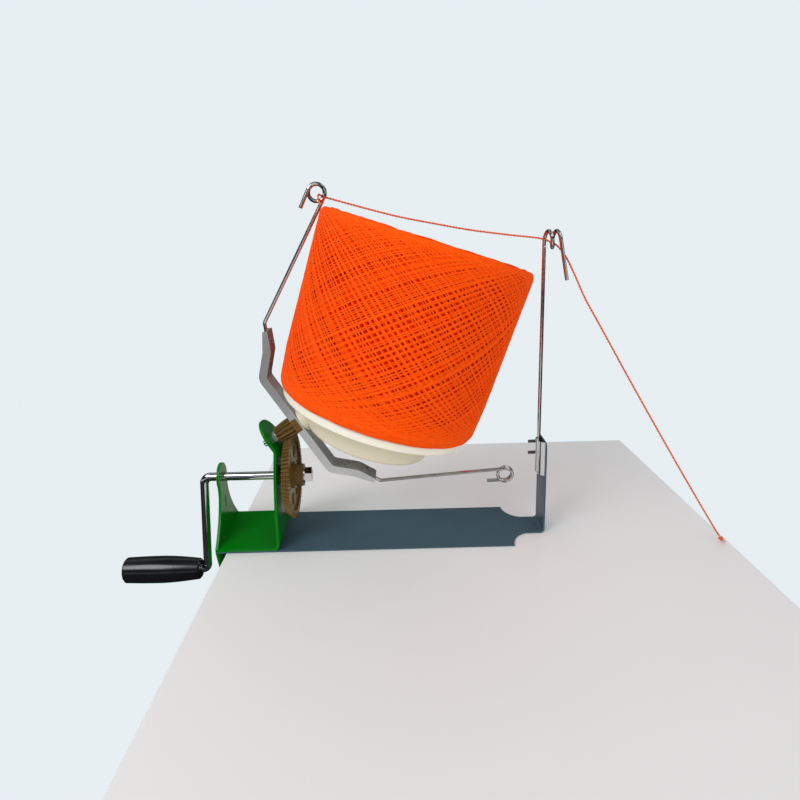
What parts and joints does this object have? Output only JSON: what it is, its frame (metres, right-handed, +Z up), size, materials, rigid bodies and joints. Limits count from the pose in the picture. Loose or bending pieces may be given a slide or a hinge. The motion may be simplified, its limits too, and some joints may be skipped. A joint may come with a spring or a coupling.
{
  "type": "yarn ball winder",
  "caption": "Table-clamped hand-crank winder: a bevel-geared flyer lays yarn on a tilted turning bobbin, fed through a wire pigtail guide on a post.",
  "frame": {"origin": "on the table top at the foot of the clamp's side plate, in the mid-plane: where the edge of the table meets the winder", "axes": "+Z up from the table, +X from the crank along the base strip towards the yarn guide, +Y to the far side"},
  "size_m": [0.5701, 0.19, 0.417],
  "materials": {
    "green_enamel": "gloss",
    "slate_enamel": "satin",
    "bright_steel": "gloss",
    "steel": "satin",
    "tan_nylon": "satin",
    "black_grip": "gloss",
    "cream_plastic": "satin",
    "orange_yarn": "matte"
  },
  "bodies": {
    "frame": {"side_plate": "green_enamel", "gear_bracket": "green_enamel", "base_strip": "slate_enamel", "base_screws": "steel", "axle_bushes": "tan_nylon", "weld_nut": "steel", "spindle": "steel", "spindle_nuts": "bright_steel", "front_washer": "steel", "carrier_plate": "steel", "gear_housing": "cream_plastic", "housing_screws": "steel", "guide_post": "bright_steel", "post_sleeve": "bright_steel", "sleeve_screws": "steel", "yarn_lead": "orange_yarn", "yarn_feed": "orange_yarn", "yarn_knot": "orange_yarn"},
    "crank": {"crank_rod": "bright_steel", "crank_gear": "tan_nylon", "crank_nut": "bright_steel", "grip_cap": "steel"},
    "grip": {"grip": "black_grip"},
    "flyer": {"flyer_pinion": "tan_nylon", "flyer_channel": "steel", "upper_wire": "bright_steel", "lower_wire": "bright_steel", "drive_bevel": "tan_nylon", "yarn_takeup": "orange_yarn"},
    "bobbin": {"bobbin_shaft": "steel", "ring_gear": "tan_nylon", "shaft_clip": "steel", "bobbin": "cream_plastic", "yarn_ball": "orange_yarn"},
    "clamp_pad": {"clamp_pad": "black_grip"},
    "clamp_screw": {"clamp_screw": "bright_steel", "clamp_bar": "bright_steel"}
  },
  "joints": [
    {"name": "crank_turn", "type": "hinge", "parent": "frame", "child": "crank", "pos_m": [0, 0, 0.06], "axis": [1, 0, 0], "continuous": true},
    {"name": "grip_spin", "type": "hinge", "parent": "crank", "child": "grip", "pos_m": [-0.07, 0, -0.0383], "axis": [1, 0, 0], "continuous": true},
    {"name": "flyer_spin", "type": "hinge", "parent": "frame", "child": "flyer", "pos_m": [0.07602, 0, 0.1132], "axis": [0.8434, 0, 0.5373], "continuous": true, "deforming": ["yarn_lead"]},
    {"name": "bobbin_spin", "type": "hinge", "parent": "frame", "child": "bobbin", "pos_m": [0.14637, 0, 0.11922], "axis": [0.3173, 0, 0.9483], "continuous": true},
    {"name": "screw_turn", "type": "hinge", "parent": "clamp_pad", "child": "clamp_screw", "pos_m": [0.026, 0, -0.035], "axis": [0, 0, 1], "range_deg": [-5760, 4032]},
    {"name": "pad_travel", "type": "slide", "parent": "frame", "child": "clamp_pad", "axis": [0, 0, 1], "range_m": [-0.02, 0.014]}
  ],
  "couplings": [
    {"joint": "flyer_spin", "follows": "crank_turn", "ratio": -5.3333},
    {"joint": "bobbin_spin", "follows": "crank_turn", "ratio": 0.87671},
    {"joint": "pad_travel", "follows": "screw_turn", "m_per_rad": 0.00019894}
  ]
}
